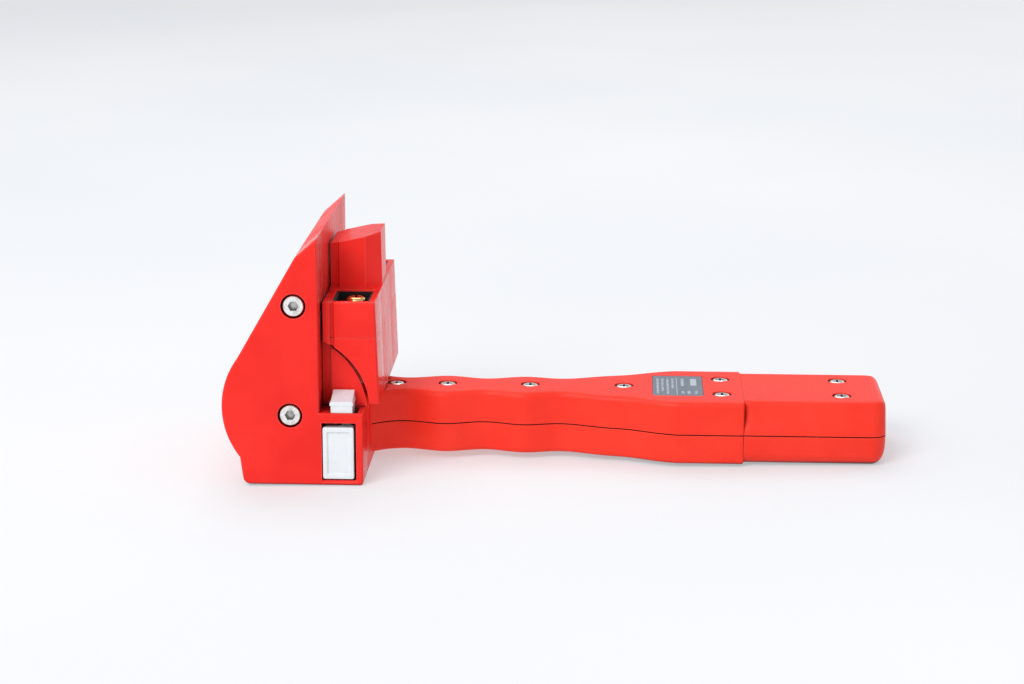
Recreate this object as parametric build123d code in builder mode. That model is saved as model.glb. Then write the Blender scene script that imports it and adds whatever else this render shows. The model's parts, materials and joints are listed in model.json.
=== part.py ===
"""Handheld bag heat sealer: a fixed head with a jaw that pivots against it, and a battery handle.

The X axis runs along the handle, Y across it and Z up. The origin lies under the middle of the
whole tool. Positions along X are given from the face where the handle meets the foot.
"""

import os
from math import cos, radians, sin, sqrt

from build123d import *

# ---- driving dimensions, mm ---------------------------------------------------------------
X0 = -62.0                   # place of the face where the handle meets the foot

HEAD_HALF = 42.0             # half width of the head, over both cheeks
CORE_HALF = 28.0             # half width of the head core between the cheeks
FOOT_TOP = 24.0              # height of the foot's ledge
JAW_FACE = -14.0             # fixed sealing face of the head
SOLE_LEFT = -38.7            # left end of the flat sole, before its corner is rounded
WAIST = (-39.9, 8.9)         # inner corner above the sole
BULGE = (-45.5, 25.6)        # leftmost point of the head's round back
SHOULDER = (-40.2, 41.6)     # where the round back meets the straight slope
BROW = (-21.2, 74.6)         # where the slope flattens
TIP = (-14.0, 81.0)          # highest point of the head
EDGE = 0.8                   # rounding of the cheeks' outer edges
HEEL_ROUND = 2.4             # left corner of the sole
TOE_ROUND = 1.1              # right corner of the sole

PIVOT = (-23.4, 23.1)        # jaw axis, which is also the lower cheek screw
UPPER_SCREW = (-21.8, 59.0)  # upper cheek screw
CAP_HEAD_R = 3.5             # M4 socket head
CAP_HEAD_H = 4.0
CAP_SHANK_R = 2.0
CAP_LENGTH = 12.0
CAP_BORE_R = 4.05            # counterbore
CAP_SINK = 0.35              # head below the cheek's face
SHAFT_R = 3.0

THROAT_R = (24.1, 23.5, 23.9)  # fixed quarter round, from the pivot: top, middle and foot
THROAT_HALF = 32.0           # half width of the fixed quarter round
JAW_R = 25.1                 # concave face of the moving jaw
JAW_HALF = 35.0              # half width of the moving jaw
JAW_LEFT = -13.3             # sealing side of the moving jaw
JAW_BASE = 25.6              # underside of the moving jaw
JAW_SEAM = 47.2              # joint between the lower block and the upper blocks
JAW_SHELF = 59.0             # top of the low blocks
JAW_RIGHT_BASE = 4.75        # right face at the base, which leans
JAW_RIGHT_SHELF = 3.6        # and at the shelf
FLANGE_T = 2.4               # thickness of the flange along the sealing side
FLANGE_STEP = 1.4            # the tall block's flange is this much narrower than the block
GROOVE = (1.4, 1.1)          # width and depth of the groove beside the lower flange
CENTRE_HALF = 14.6           # half width of the centre block below the shelf
TALL_HALF = 11.3             # half width of the centre block above the shelf
TALL_NOSE = 6.6              # half width of its right face, between the cut corners
TALL_TOP_LEFT = 73.3
TALL_TOP_RIGHT = 76.9
POCKET_X = (-10.5, 1.6)      # open pocket in each low block
POCKET_Y = (15.5, 32.6)
POCKET_FLOOR = 49.5
LINER_T = 0.8
ARM_Y = (17.0, 22.0)         # the jaw's arms inside the head
ARM_EYE_R = 6.0
BUSH_R = 4.2

WINDOW_X = (-13.3, -2.2)     # opening for the side button
WINDOW_Z = (1.7, 20.8)
SILL_CUT = 0.7               # chamfer on the window's sill
SLOT_X = (-10.8, -1.6)       # slot for the throat button
SLOT_FRONT = -41.2

TOP_Z = 24.1                 # top face of the handle
SPLIT_Z = 13.0               # parting line
BASE_Z = 3.0                 # underside of the handle
WALL = 2.0
STEP_X = 123.0               # end of the wide part
BUTT_X = 169.5               # end of the handle
WIDE_HALF = 22.2
# half widths of the handle at the parting line, from the foot to the wide part
WAVES = ((0.0, 13.8), (2.0, 12.1), (4.3, 10.6), (7.1, 9.5), (11.2, 8.9), (24.4, 12.0), (37.2, 8.9),
         (50.2, 12.1), (62.0, 10.0), (76.0, 13.9), (86.0, 16.4), (95.0, 20.4), (101.0, WIDE_HALF))
GRIP_SCREWS = (7.3, 24.5, 52.2, 83.6)
PACK_SCREWS_X = (116.0, 155.4)
PACK_SCREW_Y = 9.9
PAN_HEAD_R = 2.75
PAN_HEAD_H = 1.9
PAN_BORE_R = 3.2
PAN_SINK = 0.15
M3_R = 1.5
PLATE_X = (93.2, 109.8)
PLATE_HALF = 13.2
PLATE_SINK = 0.3
SPINE_X = (-11.9, 14.0)      # bar that joins the handle to the head
SPINE_Z = (5.1, 21.3)
SPINE_HALF = 4.6


# ---- planes and helpers --------------------------------------------------------------------
def side(y):
    """Upright plane along the handle at the width y; it faces the near side."""
    return Plane(origin=(X0, y, 0), x_dir=(1, 0, 0), z_dir=(0, -1, 0))


def level(z):
    """Flat plane at the height z, with its origin at the foot's face."""
    return Plane(origin=(X0, 0, z))


def station(x):
    """Plane across the handle at the length x; its x runs along Y and its y runs up."""
    return Plane(origin=(X0 + x, 0, 0), x_dir=(0, 1, 0), z_dir=(1, 0, 0))


def save(piece, name):
    """Label a finished piece and write it."""
    piece.part.label = name
    export_step(piece.part, f"parts/{name}.step")


def rectangle(x_range, y_range):
    """Rectangle between two pairs of limits, in the sketch that is open."""
    with Locations((sum(x_range) / 2, sum(y_range) / 2)):
        Rectangle(x_range[1] - x_range[0], y_range[1] - y_range[0])


def polygon(*points):
    """Closed outline through the points, in the sketch that is open."""
    with BuildLine() as outline:
        Polyline(*points, close=True)
    make_face(outline.edges())


def on_arc(radius, height):
    """X of the point at this height on a circle about the pivot."""
    return PIVOT[0] + sqrt(radius ** 2 - (height - PIVOT[1]) ** 2)


def height_on_arc(radius, x):
    """Height of the point at this X on a circle about the pivot."""
    return PIVOT[1] + sqrt(radius ** 2 - (x - PIVOT[0]) ** 2)


def jaw_right(z):
    """X of the moving jaw's leaning right face at the height z."""
    lean = (JAW_RIGHT_SHELF - JAW_RIGHT_BASE) / (JAW_SHELF - JAW_BASE)
    return JAW_RIGHT_BASE + lean * (z - JAW_BASE)


def head_outline():
    """Side view of the head and foot."""
    with BuildLine() as outline:
        Polyline((JAW_FACE, FOOT_TOP), (0, FOOT_TOP), (0, 0), (SOLE_LEFT, 0), WAIST)
        ThreePointArc(WAIST, BULGE, SHOULDER)
        Polyline(SHOULDER, BROW, TIP, (JAW_FACE, FOOT_TOP))
    make_face(outline.edges())


def round_sole(part):
    """Round the two corners of the sole on an open part."""
    for end, radius in ((0, HEEL_ROUND), (-1, TOE_ROUND)):
        sole = part.edges().filter_by(Axis.Y).filter_by_position(Axis.Z, -0.1, 0.1)
        fillet(sole.sort_by(Axis.X)[end], radius)


os.makedirs("parts", exist_ok=True)

# ---- head ------------------------------------------------------------------------------------
with BuildPart() as cheek_blank:
    with BuildSketch(side(-CORE_HALF)):
        head_outline()
    extrude(amount=HEAD_HALF - CORE_HALF)
    round_sole(cheek_blank)
    fillet(cheek_blank.faces().sort_by(Axis.Y)[0].edges(), EDGE)
    outer = side(-HEAD_HALF)
    with Locations(outer.location * Location((*PIVOT, 0)), outer.location * Location((*UPPER_SCREW, 0))):
        CounterBoreHole(CAP_SHANK_R + 0.2, CAP_BORE_R, CAP_HEAD_H + CAP_SINK)

with BuildPart() as near_cheek:
    add(cheek_blank.part)
    with BuildSketch(side(-HEAD_HALF - 1)):
        rectangle(WINDOW_X, WINDOW_Z)
    extrude(amount=-(HEAD_HALF - CORE_HALF + 2), mode=Mode.SUBTRACT)
    with BuildSketch(level(WINDOW_Z[0] + 1)):
        rectangle(SLOT_X, (SLOT_FRONT, -THROAT_HALF - 0.1))
    extrude(amount=FOOT_TOP, mode=Mode.SUBTRACT)
    sill = near_cheek.edges().filter_by(Axis.X).filter_by_position(Axis.Y, -HEAD_HALF - 0.1, -HEAD_HALF + 0.1)
    chamfer(sill.filter_by_position(Axis.Z, WINDOW_Z[0] - 0.1, WINDOW_Z[0] + 0.1), SILL_CUT)
save(near_cheek, "near_cheek")

with BuildPart() as far_cheek:
    mirror(cheek_blank.part, about=Plane.XZ)
save(far_cheek, "far_cheek")

CORE_WALL = 3.0
ARM_SLOT = (ARM_Y[0] - 0.6, ARM_Y[1] + 0.6)
PAD_Z = (49.5, 57.5)
PAD_DEPTH = 1.6
PAD_HALF = 27.4
with BuildPart() as head_core:
    with BuildSketch(side(CORE_HALF)):
        head_outline()
    extrude(amount=2 * CORE_HALF)
    with BuildSketch(side(CORE_HALF + 1)):
        polygon((-36.2, CORE_WALL), (-36.4, 10), (-40.5, 18), (-41.8, 26), (-40.5, 33), (-37, 40.6),
                (-20.5, 69.8), (JAW_FACE - CORE_WALL, 72.5), (JAW_FACE - CORE_WALL, CORE_WALL))
    extrude(amount=2 * CORE_HALF + 2, mode=Mode.SUBTRACT)
    for arm in (ARM_SLOT, (-ARM_SLOT[1], -ARM_SLOT[0])):
        with BuildSketch(station(JAW_FACE - CORE_WALL - 1)):
            rectangle(arm, (FOOT_TOP + 0.4, 42.0))
        extrude(amount=CORE_WALL + 2, mode=Mode.SUBTRACT)
    with BuildSketch(station(JAW_FACE - PAD_DEPTH)):
        rectangle((-PAD_HALF - 0.1, PAD_HALF + 0.1), (PAD_Z[0] - 0.1, PAD_Z[1] + 0.1))
    extrude(amount=PAD_DEPTH + 1, mode=Mode.SUBTRACT)
    with BuildSketch(station(SPINE_X[0] - 0.1)):
        rectangle((-SPINE_HALF - 0.1, SPINE_HALF + 0.1), (SPINE_Z[0] - 0.1, SPINE_Z[1] + 0.1))
    extrude(amount=15, mode=Mode.SUBTRACT)
    round_sole(head_core)
save(head_core, "head_core")

with BuildPart() as pressure_pad:
    with BuildSketch(station(JAW_FACE - PAD_DEPTH)):
        rectangle((-PAD_HALF, PAD_HALF), PAD_Z)
    extrude(amount=PAD_DEPTH - 0.1)
    fillet(pressure_pad.faces().sort_by(Axis.X)[-1].edges().filter_by(Axis.Y), 0.5)
save(pressure_pad, "pressure_pad")

with BuildPart() as cheek_screws:
    with Locations(outer.offset(-CAP_SINK).location * Location((*PIVOT, 0)),
                   outer.offset(-CAP_SINK).location * Location((*UPPER_SCREW, 0))):
        Cylinder(CAP_HEAD_R, CAP_HEAD_H, align=(Align.CENTER, Align.CENTER, Align.MAX))
    chamfer(cheek_screws.faces().sort_by(Axis.Y)[0].edges(), 0.35)
    chamfer(cheek_screws.faces().sort_by(Axis.Y)[1].edges().filter_by(GeomType.CIRCLE), 0.35)
    with Locations(outer.offset(-CAP_SINK - CAP_HEAD_H).location * Location((*PIVOT, 0)),
                   outer.offset(-CAP_SINK - CAP_HEAD_H).location * Location((*UPPER_SCREW, 0))):
        Cylinder(CAP_SHANK_R - 0.02, CAP_LENGTH, align=(Align.CENTER, Align.CENTER, Align.MAX))
    with BuildSketch(outer.offset(-CAP_SINK)):
        with Locations(PIVOT, UPPER_SCREW):
            RegularPolygon(1.75, 6)
    extrude(amount=-2.2, mode=Mode.SUBTRACT)
    mirror(about=Plane.XZ)
save(cheek_screws, "cheek_screws")

ROD_HALF = CORE_HALF - 0.05
ROD_BORE_END = HEAD_HALF - CAP_SINK - CAP_HEAD_H - CAP_LENGTH - 1.0
for name, place in (("pivot_shaft", PIVOT), ("tie_rod", UPPER_SCREW)):
    with BuildPart() as rod:
        with BuildSketch(side(ROD_HALF)):
            with Locations(place):
                Circle(SHAFT_R)
        extrude(amount=2 * ROD_HALF)
        chamfer(rod.edges(), 0.3)
        with BuildSketch(side(-ROD_HALF)):
            with Locations(place):
                Circle(CAP_SHANK_R)
        extrude(amount=-(ROD_HALF - ROD_BORE_END), mode=Mode.SUBTRACT)
        with BuildSketch(side(ROD_BORE_END)):
            with Locations(place):
                Circle(CAP_SHANK_R)
        extrude(amount=-(ROD_HALF - ROD_BORE_END), mode=Mode.SUBTRACT)
    save(rod, name)

THROAT_FOOT = TOP_Z + 0.05   # underside of the block, clear of the ledge and the handle
MID_ANGLE = radians(35)      # direction of the middle of both arcs from the pivot
THROAT_BRIDGE = 1.3          # the block stays whole under the slots for the arms
with BuildPart() as throat_block:
    with BuildSketch(side(THROAT_HALF)):
        with BuildLine():
            top_z = height_on_arc(THROAT_R[0], JAW_FACE + 0.05)
            foot_x = on_arc(THROAT_R[2], THROAT_FOOT)
            middle = (PIVOT[0] + THROAT_R[1] * cos(MID_ANGLE), PIVOT[1] + THROAT_R[1] * sin(MID_ANGLE))
            ThreePointArc((foot_x, THROAT_FOOT), middle, (JAW_FACE + 0.05, top_z))
            Polyline((JAW_FACE + 0.05, top_z), (JAW_FACE + 0.05, THROAT_FOOT), (foot_x, THROAT_FOOT))
        make_face()
    extrude(amount=2 * THROAT_HALF)
    for sign in (-1, 1):
        with BuildSketch(level(FOOT_TOP)):
            rectangle((JAW_FACE, JAW_LEFT + FLANGE_T),
                      sorted((sign * THROAT_HALF, sign * (THROAT_HALF - FLANGE_STEP))))
        extrude(amount=25, mode=Mode.SUBTRACT)
        with BuildSketch(level(FOOT_TOP + THROAT_BRIDGE)):
            rectangle((JAW_FACE - 1, 4), sorted((sign * ARM_SLOT[0], sign * ARM_SLOT[1])))
        extrude(amount=25, mode=Mode.SUBTRACT)
save(throat_block, "throat_block")

# ---- moving jaw -------------------------------------------------------------------------------
def flange_groove(z_low, z_high):
    """Cut the groove beside the flange at both ends of a low block."""
    left = JAW_LEFT + FLANGE_T
    width, depth = GROOVE
    for sign in (-1, 1):
        with BuildSketch(level(z_low - 1)) as notch:
            polygon((left, sign * (JAW_HALF + 1)), (left, sign * (JAW_HALF - depth)),
                    (left + width / 2, sign * (JAW_HALF - depth)), (left + width, sign * JAW_HALF),
                    (left + width, sign * (JAW_HALF + 1)))
        extrude(notch.sketch, amount=z_high - z_low + 2, mode=Mode.SUBTRACT)


def flange_steps(z_low, z_high, half):
    """Cut the step and the small chamfer beside the flange at both ends of a tall block."""
    for sign in (-1, 1):
        with BuildSketch(level(z_low - 1)) as notch:
            polygon((JAW_LEFT - 1, sign * (half + 1)), (JAW_LEFT - 1, sign * (half - FLANGE_STEP)),
                    (JAW_LEFT + FLANGE_T, sign * (half - FLANGE_STEP)),
                    (JAW_LEFT + FLANGE_T + 0.7, sign * half), (JAW_LEFT + FLANGE_T + 0.7, sign * (half + 1)))
        extrude(notch.sketch, amount=z_high - z_low + 2, mode=Mode.SUBTRACT)


SEAM_CUT = 0.4               # width and depth of the lines that carry the upper seams down
with BuildPart() as jaw_block:
    with BuildSketch(side(JAW_HALF)):
        with BuildLine():
            arc_low = (on_arc(JAW_R, JAW_BASE), JAW_BASE)
            arc_high = (JAW_LEFT, height_on_arc(JAW_R, JAW_LEFT))
            middle = (PIVOT[0] + JAW_R * cos(MID_ANGLE), PIVOT[1] + JAW_R * sin(MID_ANGLE))
            ThreePointArc(arc_low, middle, arc_high)
            Polyline(arc_high, (JAW_LEFT, JAW_SEAM), (jaw_right(JAW_SEAM), JAW_SEAM),
                     (jaw_right(JAW_BASE), JAW_BASE), arc_low)
        make_face()
    extrude(amount=2 * JAW_HALF)
    outer_corners = jaw_block.faces().sort_by(Axis.X)[-1].edges().filter_by(Axis.Y, reverse=True)
    chamfer(outer_corners, 0.6)
    flange_groove(JAW_BASE, JAW_SEAM)
    for seam_y in (-CENTRE_HALF, CENTRE_HALF):
        with BuildSketch(side(seam_y + SEAM_CUT / 2)):
            below, above = JAW_BASE - 1, JAW_SEAM + 1
            polygon((jaw_right(below) - SEAM_CUT, below), (jaw_right(JAW_BASE) + 2, below),
                    (jaw_right(JAW_BASE) + 2, above), (jaw_right(above) - SEAM_CUT, above))
        extrude(amount=SEAM_CUT, mode=Mode.SUBTRACT)
save(jaw_block, "jaw_block")

LOW_GAP = 0.1
for name, sign in (("near_low_block", -1), ("far_low_block", 1)):
    with BuildPart() as low_block:
        with BuildSketch(side(sign * CENTRE_HALF + sign * LOW_GAP)):
            polygon((JAW_LEFT, JAW_SEAM), (jaw_right(JAW_SEAM), JAW_SEAM),
                    (JAW_RIGHT_SHELF, JAW_SHELF), (JAW_LEFT, JAW_SHELF))
        extrude(amount=-sign * (JAW_HALF - CENTRE_HALF - LOW_GAP))
        right_edges = low_block.faces().sort_by(Axis.X)[-1].edges()
        chamfer(right_edges.filter_by(Axis.Y, reverse=True).sort_by(Axis.Y)[0 if sign < 0 else -1], 0.6)
        chamfer(low_block.faces().sort_by(Axis.Z)[-1].edges().sort_by(Axis.Y)[0 if sign < 0 else -1], 0.4)
        with BuildSketch(level(POCKET_FLOOR)):
            rectangle(POCKET_X, sorted((sign * POCKET_Y[0], sign * POCKET_Y[1])))
        extrude(amount=15, mode=Mode.SUBTRACT)
        flange_groove(JAW_SEAM, JAW_SHELF)
    save(low_block, name)

LINER_GAP = 0.05
BRASS_X = -3.6
BRASS_Y = 23.4
BRASS_TOP = 58.5
for side_name, sign in (("near", -1), ("far", 1)):
    inner_x = (POCKET_X[0] + LINER_GAP, POCKET_X[1] - LINER_GAP)
    inner_y = sorted((sign * (POCKET_Y[0] + LINER_GAP), sign * (POCKET_Y[1] - LINER_GAP)))
    with BuildPart() as liner:
        with BuildSketch(level(POCKET_FLOOR)):
            rectangle(inner_x, inner_y)
        extrude(amount=JAW_SHELF - POCKET_FLOOR - 0.6)
        with BuildSketch(level(POCKET_FLOOR + LINER_T)):
            rectangle((inner_x[0] + LINER_T, inner_x[1] - LINER_T),
                      (inner_y[0] + LINER_T, inner_y[1] - LINER_T))
        extrude(amount=15, mode=Mode.SUBTRACT)
    save(liner, f"{side_name}_pocket_liner")
    with BuildPart() as brass_screw:
        head = level(BRASS_TOP)
        with BuildSketch(level(POCKET_FLOOR + LINER_T)):
            with Locations((BRASS_X, sign * BRASS_Y)):
                Circle(2.0)
        extrude(amount=BRASS_TOP - POCKET_FLOOR - LINER_T - 1)
        with BuildSketch(level(BRASS_TOP - 2.4)):
            with Locations((BRASS_X, sign * BRASS_Y)):
                Circle(3.3)
        extrude(amount=2.4)
        fillet(brass_screw.faces().sort_by(Axis.Z)[-1].edges(), 1.7)
        with BuildSketch(head):
            with Locations((BRASS_X, sign * BRASS_Y)):
                Rectangle(3.4, 0.75)
                Rectangle(0.75, 3.4)
        extrude(amount=-1.5, mode=Mode.SUBTRACT)
    save(brass_screw, f"{side_name}_adjusting_screw")

with BuildPart() as centre_block:
    with BuildSketch(side(CENTRE_HALF)):
        polygon((JAW_LEFT, JAW_SEAM), (jaw_right(JAW_SEAM), JAW_SEAM),
                (JAW_RIGHT_SHELF, JAW_SHELF), (JAW_LEFT, JAW_SHELF))
    extrude(amount=2 * CENTRE_HALF)
    with BuildSketch(side(TALL_HALF)):
        polygon((JAW_LEFT, JAW_SEAM + 2), (JAW_RIGHT_SHELF, JAW_SEAM + 2),
                (JAW_RIGHT_SHELF - 0.5, TALL_TOP_RIGHT), (JAW_LEFT, TALL_TOP_LEFT))
    extrude(amount=2 * TALL_HALF)
    for sign in (-1, 1):
        with BuildSketch(level(JAW_SHELF)):
            polygon((-1.7, sign * TALL_HALF), (JAW_RIGHT_SHELF, sign * TALL_NOSE),
                    (JAW_RIGHT_SHELF + 1, sign * TALL_NOSE), (JAW_RIGHT_SHELF + 1, sign * (TALL_HALF + 1)),
                    (-1.7, sign * (TALL_HALF + 1)))
        extrude(amount=30, mode=Mode.SUBTRACT)
    flange_steps(JAW_SHELF + 1, TALL_TOP_RIGHT, TALL_HALF)
save(centre_block, "centre_block")

ARM_SECTOR = (18, 38, 58)    # lower edge, middle and upper edge of an arm, degrees
LEVER_X = -34.0
LEVER_Z = (22.0, 24.2)
ROD_X = -31.5                # solenoid axis
ROD_R = 1.3
with BuildPart() as jaw_arms:
    for arm in (ARM_Y, (-ARM_Y[1], -ARM_Y[0])):
        with BuildSketch(side(arm[1])):
            with BuildLine():
                rim = [(PIVOT[0] + JAW_R * cos(radians(a)), PIVOT[1] + JAW_R * sin(radians(a)))
                       for a in ARM_SECTOR]
                ThreePointArc(*rim)
                Polyline(rim[2], PIVOT, rim[0])
            make_face()
            with Locations(PIVOT):
                Circle(ARM_EYE_R)
            rectangle((LEVER_X, PIVOT[0]), LEVER_Z)
            with Locations(PIVOT):
                Circle(BUSH_R, mode=Mode.SUBTRACT)
        extrude(amount=arm[1] - arm[0])
    with BuildSketch(level(LEVER_Z[0])):
        rectangle((LEVER_X, LEVER_X + 5), (-ARM_Y[0], ARM_Y[0]))
        with Locations((ROD_X, 0)):
            Circle(ROD_R + 0.6, mode=Mode.SUBTRACT)
    extrude(amount=LEVER_Z[1] - LEVER_Z[0])
save(jaw_arms, "jaw_arms")

with BuildPart() as pivot_bushes:
    for arm in (ARM_Y, (-ARM_Y[1], -ARM_Y[0])):
        with BuildSketch(side(arm[1])):
            with Locations(PIVOT):
                Circle(BUSH_R)
                Circle(SHAFT_R + 0.05, mode=Mode.SUBTRACT)
        extrude(amount=arm[1] - arm[0])
save(pivot_bushes, "pivot_bushes")

BAND_Z = (51.0, 56.0)
BAND_HALF = 26.0
with BuildPart() as heating_band:
    with BuildSketch(station(JAW_LEFT - 0.15)):
        rectangle((-BAND_HALF, BAND_HALF), BAND_Z)
    extrude(amount=0.15)
save(heating_band, "heating_band")

with BuildPart() as band_cover:
    with BuildSketch(station(JAW_LEFT - 0.3)):
        rectangle((-BAND_HALF - 1.5, BAND_HALF + 1.5), (BAND_Z[0] - 1, BAND_Z[1] + 1))
    extrude(amount=0.3)
    with BuildSketch(station(JAW_LEFT - 0.15)):
        rectangle((-BAND_HALF, BAND_HALF), BAND_Z)
    extrude(amount=0.5, mode=Mode.SUBTRACT)
save(band_cover, "band_cover")

# ---- closing drive -----------------------------------------------------------------------------
COIL_Z = (CORE_WALL + 0.05, 16.5)
PLUNGER_R = 2.5
with BuildPart() as solenoid:
    with BuildSketch(level(COIL_Z[0])):
        rectangle((ROD_X - 4.4, ROD_X + 4.4), (-7, 7))
    extrude(amount=COIL_Z[1] - COIL_Z[0])
    chamfer(solenoid.edges().filter_by(Axis.Z), 0.8)
    with BuildSketch(level(COIL_Z[1])):
        with Locations((ROD_X, 0)):
            Circle(PLUNGER_R + 0.08)
    extrude(amount=-(COIL_Z[1] - COIL_Z[0] - 1.5), mode=Mode.SUBTRACT)
save(solenoid, "solenoid")

COLLAR_GAP = 0.45
with BuildPart() as solenoid_plunger:
    with BuildSketch(level(6.0)):
        with Locations((ROD_X, 0)):
            Circle(PLUNGER_R)
    extrude(amount=LEVER_Z[0] - COLLAR_GAP - 6.0)
    with BuildSketch(level(LEVER_Z[0] - COLLAR_GAP)):
        with Locations((ROD_X, 0)):
            Circle(ROD_R)
    extrude(amount=LEVER_Z[1] - LEVER_Z[0] + 2 * COLLAR_GAP)
    with BuildSketch(level(LEVER_Z[1] + COLLAR_GAP)):
        with Locations((ROD_X, 0)):
            Circle(PLUNGER_R)
    extrude(amount=1.2)
save(solenoid_plunger, "solenoid_plunger")

BOARD_X = (-29.2, -27.6)
with BuildPart() as control_board:
    with BuildSketch(station(BOARD_X[0])):
        rectangle((-24, 24), (32.0, 52.0))
    extrude(amount=BOARD_X[1] - BOARD_X[0])
    with BuildSketch(station(BOARD_X[1])):
        rectangle((-20, -8), (36, 46))
        rectangle((4, 12), (34, 40))
        rectangle((2, 18), (43, 49))
    extrude(amount=2.5)
save(control_board, "control_board")

# ---- buttons -------------------------------------------------------------------------------------
BUTTON_X = (-13.0, -2.9)
BUTTON_Z = (2.1, 19.3)
BUTTON_FRONT = -HEAD_HALF
BUTTON_T = 3.4
STEM_R = 1.4
STEM_AT = (-8.0, 6.6)
with BuildPart() as side_button:
    with BuildSketch(side(BUTTON_FRONT + BUTTON_T)):
        rectangle(BUTTON_X, BUTTON_Z)
    extrude(amount=BUTTON_T)
    fillet(side_button.edges().filter_by(Axis.Y), 0.7)
    fillet(side_button.faces().sort_by(Axis.Y)[0].edges(), 0.45)
    with BuildSketch(side(BUTTON_FRONT)):
        rectangle((BUTTON_X[0] + 1.3, BUTTON_X[1] - 1.3), (BUTTON_Z[0] + 1.4, BUTTON_Z[1] - 1.4))
    extrude(amount=-0.55, taper=45, mode=Mode.SUBTRACT)
    with BuildSketch(side(BUTTON_FRONT + BUTTON_T)):
        with Locations(STEM_AT):
            Circle(STEM_R)
    extrude(amount=-2.6)
save(side_button, "side_button")

CAP_X = (-10.4, -3.4)
CAP_FRONT = -41.0
CAP_BACK = -32.5
CAP_BASE_Z = 21.9
CAP_SKIRT_Z = 26.6           # ridge over the button's body
CAP_CREST_Z = 29.7
LEG_Z = 16.6
with BuildPart() as throat_button:
    with BuildSketch(station(CAP_X[0])):
        polygon((CAP_FRONT, CAP_BASE_Z), (CAP_BACK, CAP_BASE_Z), (CAP_BACK, CAP_CREST_Z),
                (CAP_BACK - 0.9, CAP_CREST_Z), (CAP_FRONT, CAP_SKIRT_Z + 0.9))
    extrude(amount=CAP_X[1] - CAP_X[0])
    fillet(throat_button.edges().filter_by(Axis.X).sort_by(Axis.Z)[-3:], 0.4)
    left_edges = throat_button.edges().filter_by(Axis.X, reverse=True).group_by(Axis.X)[0]
    fillet(left_edges.sort_by(Axis.Z)[-2:], 0.35)
    with BuildSketch(station(CAP_X[0] - 0.25)):
        rectangle((CAP_FRONT - 0.15, CAP_BACK), (CAP_SKIRT_Z - 0.3, CAP_SKIRT_Z + 0.7))
    extrude(amount=CAP_X[1] - CAP_X[0] + 0.5)
    with BuildSketch(level(LEG_Z)):
        rectangle((-7.3, -4.3), (-36.6, CAP_BACK))
    extrude(amount=22.5 - LEG_Z)
save(throat_button, "throat_button")

with BuildPart() as side_switch:
    with BuildSketch(side(-CORE_HALF - 0.05)):
        rectangle((-12.0, -4.0), (3.0, 10.2))
    extrude(amount=5.4)
    chamfer(side_switch.edges().filter_by(Axis.Y), 0.5)
save(side_switch, "side_switch")

with BuildPart() as throat_switch:
    with BuildSketch(side(-CORE_HALF - 0.05)):
        rectangle((-11.0, -3.8), (11.2, 14.9))
    extrude(amount=8.9)
    chamfer(throat_switch.edges().filter_by(Axis.Y), 0.4)
save(throat_switch, "throat_switch")

WIRE_R = 0.2
for name, start, axis, length, coil_r in (
        ("side_button_spring", (X0 + STEM_AT[0], -CORE_HALF - 5.8, STEM_AT[1]), (0, -1, 0), 3.4, 2.2),
        ("throat_button_spring", (X0 - 9.3, -36.3, 15.15), (0, 0, 1), 6.5, 0.9)):
    with BuildPart() as spring:
        with BuildLine():
            coil = Helix(pitch=0.9, height=length, radius=coil_r, center=start, direction=axis)
        with BuildSketch(Plane(origin=coil @ 0, z_dir=coil % 0)):
            Circle(WIRE_R)
        sweep()
    save(spring, name)

# ---- handle ----------------------------------------------------------------------------------------
def handle_plan(inset, x_start, x_end):
    """Plan of the grip and the wide part, drawn in by the inset."""
    last = WAVES[-1][0]
    near = [(x, inset - w) for x, w in WAVES if x >= x_start]
    far = [(x, -y) for x, y in reversed(near)]
    with BuildLine() as outline:
        Spline(*near)
        Polyline((last, inset - WIDE_HALF), (x_end, inset - WIDE_HALF), (x_end, WIDE_HALF - inset),
                 (last, WIDE_HALF - inset))
        Spline(*far)
        Line(far[-1], near[0])
    make_face(outline.edges())


GRIP_ROUND = 1.0
BUTT_HALF = 22.0
BUTT_TOP_HALF = 19.4
INNER_TOP = TOP_Z - WALL
INNER_BASE = BASE_Z + 1.6
POST_R = 3.4
SOCKET_Z = (6.1, 9.6)
SOCKET_HALF = 4.7
pack_spots = [(x, y) for x in PACK_SCREWS_X for y in (-PACK_SCREW_Y, PACK_SCREW_Y)]
grip_spots = [(x, 0) for x in GRIP_SCREWS]

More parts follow.
